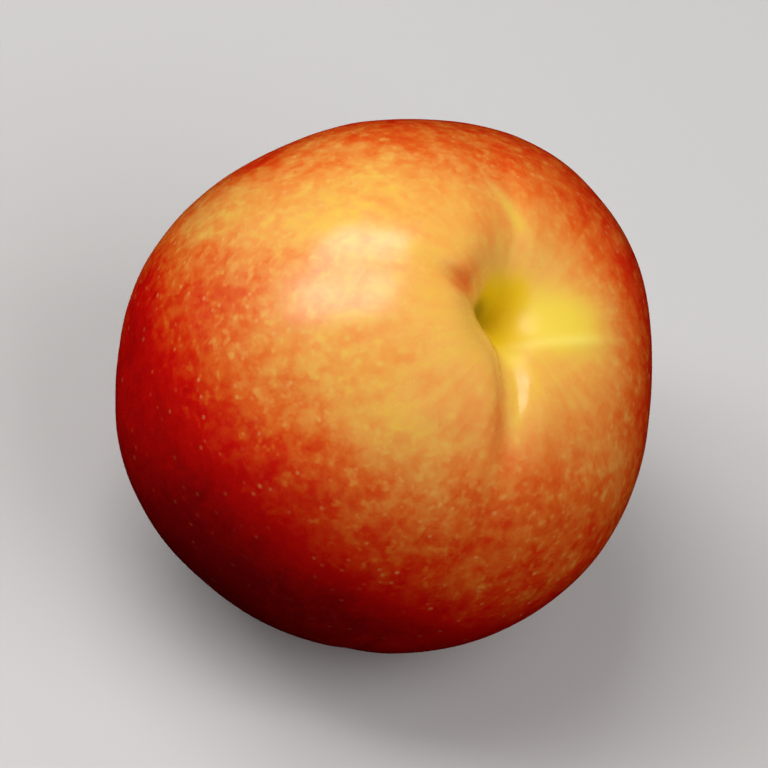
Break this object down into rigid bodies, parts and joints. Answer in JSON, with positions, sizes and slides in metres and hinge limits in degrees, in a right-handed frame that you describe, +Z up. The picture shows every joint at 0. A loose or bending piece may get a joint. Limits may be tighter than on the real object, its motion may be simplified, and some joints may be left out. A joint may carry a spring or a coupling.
{
  "type": "nectarine",
  "caption": "Whole ripe nectarine with two unequal cheeks, a deep stem cavity, a suture and a blunt apex, resting on a small flat spot",
  "frame": {"origin": "middle of the small flat spot that the fruit rests on", "axes": "+Z up as the fruit lies; -Y is the front, where the suture runs down, and +X is the side to which the stem cavity tilts"},
  "size_m": [0.0747, 0.0752, 0.075],
  "materials": {
    "skin": null
  },
  "bodies": {
    "root": {"nectarine": "skin"}
  },
  "joints": []
}
